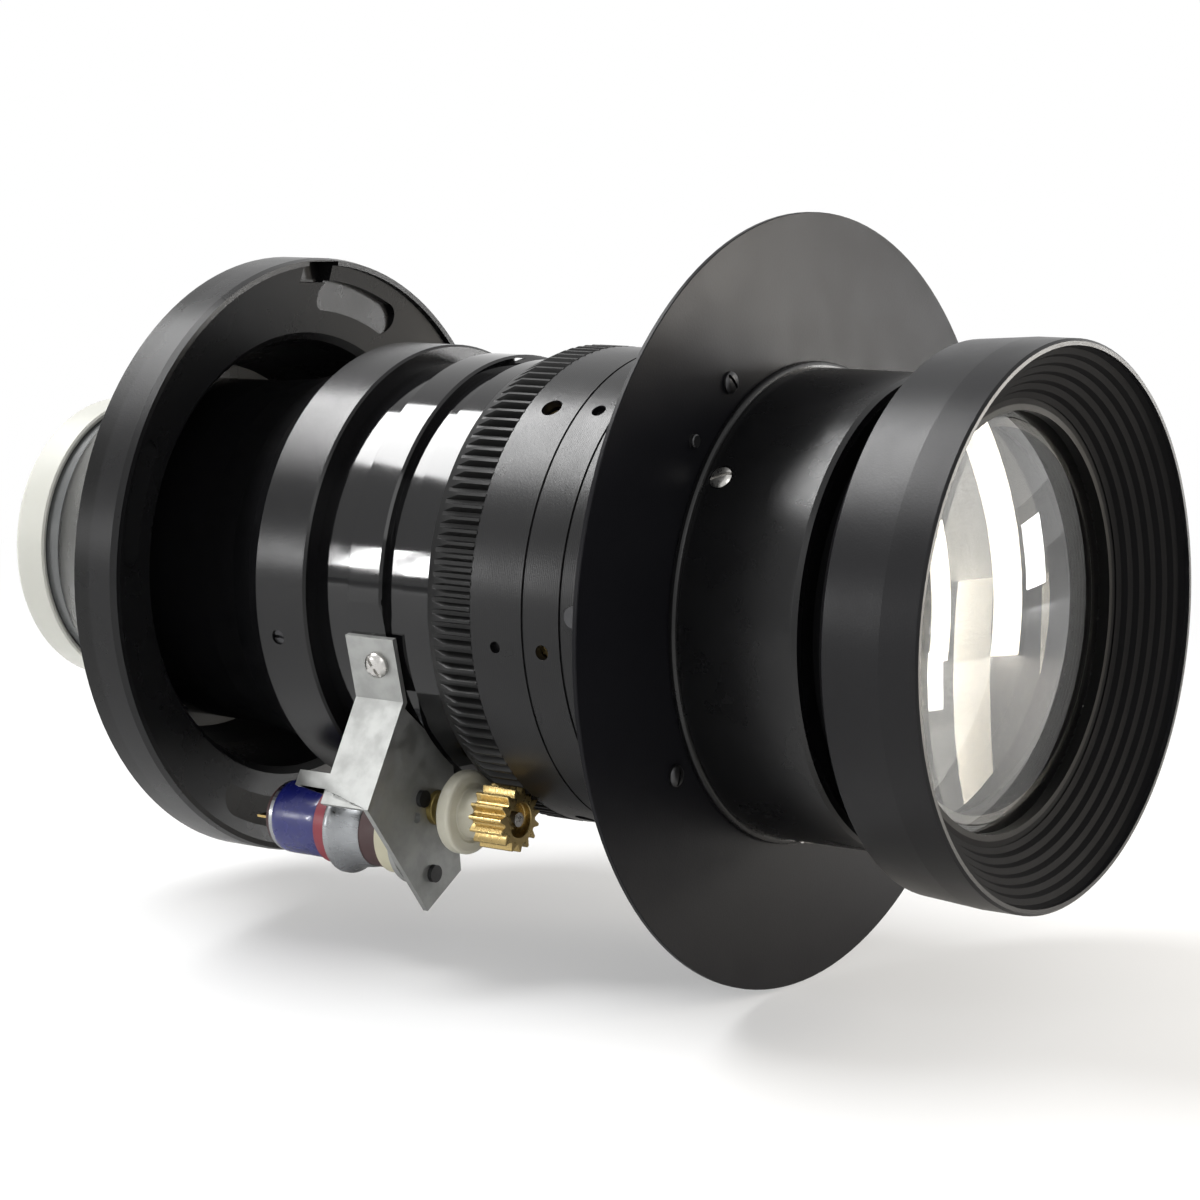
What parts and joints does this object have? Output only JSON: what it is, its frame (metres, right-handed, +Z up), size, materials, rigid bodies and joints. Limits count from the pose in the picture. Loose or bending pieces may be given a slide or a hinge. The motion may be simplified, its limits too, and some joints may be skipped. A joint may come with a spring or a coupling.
{
  "type": "projection lens",
  "caption": "Motorised zoom projection lens: flanged rear barrel with push-on cap, geared zoom ring with side gearmotor, round light shield and focusing front hood.",
  "frame": {"origin": "on the optical axis, at the rear edge of the mounting flange's round rim", "axes": "+X along the optical axis towards the front glass, +Z up, the zoom gearmotor on the -Y side below the middle"},
  "size_m": [0.2471, 0.155, 0.155],
  "materials": {
    "cap_plastic": "satin ivory moulding",
    "tube_paint": "glossy dark gray",
    "glass": "polished and coated",
    "front_glass": "polished and coated",
    "inner_black": "matt black",
    "flange_paint": "satin dark gray",
    "hub_paint": "satin black",
    "dark_steel": "blackened",
    "barrel_gloss": "gloss black",
    "barrel_satin": "satin black",
    "shield_paint": "satin black",
    "screw_steel": "plain",
    "ring_black": "satin black",
    "gear_gray": "dull anodised",
    "brass": "machined",
    "hood_paint": "satin black",
    "baffle_black": "matt black",
    "zinc": "zinc plated",
    "can_steel": "nickel plated",
    "blue_film": "glossy film",
    "red_ring": "glossy",
    "seam_brown": "matt",
    "ring_beige": "satin",
    "plate_gray": "satin",
    "bush_bronze": "sintered",
    "nylon": "satin white"
  },
  "bodies": {
    "barrel": {"rear_tube": "tube_paint", "rear_lens": "glass", "rear_middle_lens": "glass", "rear_inner_lens": "glass", "rear_spacer": "inner_black", "rear_retainer": "inner_black", "mount_flange": "flange_paint", "hub": "hub_paint", "hub_screws": "dark_steel", "guide_barrel": "barrel_gloss", "shield_carrier": "barrel_satin", "light_shield": "shield_paint", "shield_clamp_ring": "barrel_satin", "shield_screws": "screw_steel", "front_barrel": "barrel_satin", "front_barrel_screws": "screw_steel", "motor_bracket": "zinc", "bracket_screw": "screw_steel", "motor_can": "can_steel", "motor_sleeve": "blue_film", "motor_collar": "red_ring", "motor_end_cap": "cap_plastic", "motor_terminals": "brass", "gearhead": "can_steel", "gearhead_seam": "seam_brown", "gearhead_ring": "ring_beige", "gearhead_plate": "plate_gray", "gearhead_screws": "dark_steel", "output_bush": "bush_bronze"},
    "zoom_ring_body": {"zoom_ring": "ring_black", "ring_gear": "gear_gray", "zoom_stop_screw": "dark_steel"},
    "rear_zoom_group": {"rear_zoom_cell": "inner_black", "rear_zoom_lens": "glass", "rear_zoom_doublet": "glass", "rear_followers": "brass"},
    "front_zoom_group": {"front_zoom_cell": "inner_black", "front_zoom_lens": "glass", "aperture_stop": "inner_black", "front_followers": "brass"},
    "focus_group": {"focus_tube": "barrel_gloss", "focus_keys": "brass", "inner_front_lens": "glass", "front_spacer": "inner_black", "front_glass": "front_glass", "glass_retainer": "inner_black", "hood_snap_ring": "screw_steel"},
    "hood_body": {"hood": "hood_paint", "hood_baffle": "baffle_black"},
    "drive": {"output_shaft": "screw_steel", "nylon_wheel": "nylon", "pinion": "brass"},
    "rear_cap_body": {"rear_cap": "cap_plastic"}
  },
  "joints": [
    {"name": "zoom_turn", "type": "hinge", "parent": "barrel", "child": "zoom_ring_body", "pos_m": [0.105, 0, 0], "axis": [1, 0, 0], "range_deg": [0, 50]},
    {"name": "rear_zoom_slide", "type": "slide", "parent": "barrel", "child": "rear_zoom_group", "axis": [1, 0, 0], "range_m": [0, 0.012]},
    {"name": "front_zoom_slide", "type": "slide", "parent": "barrel", "child": "front_zoom_group", "axis": [1, 0, 0], "range_m": [0, 0.0145]},
    {"name": "drive_spin", "type": "hinge", "parent": "barrel", "child": "drive", "pos_m": [0.085, -0.03221, -0.04433], "axis": [1, 0, 0], "range_deg": [-406.67, 0]},
    {"name": "focus_travel", "type": "slide", "parent": "barrel", "child": "focus_group", "axis": [1, 0, 0], "range_m": [-0.003, 0.003]},
    {"name": "hood_turn", "type": "hinge", "parent": "focus_group", "child": "hood_body", "pos_m": [0.18, 0, 0], "axis": [1, 0, 0], "range_deg": [-60, 60]},
    {"name": "rear_cap_pull", "type": "slide", "parent": "barrel", "child": "rear_cap_body", "axis": [-1, 0, 0], "range_m": [0, 0.02]}
  ],
  "couplings": [
    {"joint": "rear_zoom_slide", "follows": "zoom_turn", "m_per_rad": 0.01375},
    {"joint": "front_zoom_slide", "follows": "zoom_turn", "m_per_rad": 0.0166},
    {"joint": "drive_spin", "follows": "zoom_turn", "ratio": -8.1333},
    {"joint": "focus_travel", "follows": "hood_turn", "m_per_rad": 0.00286}
  ]
}
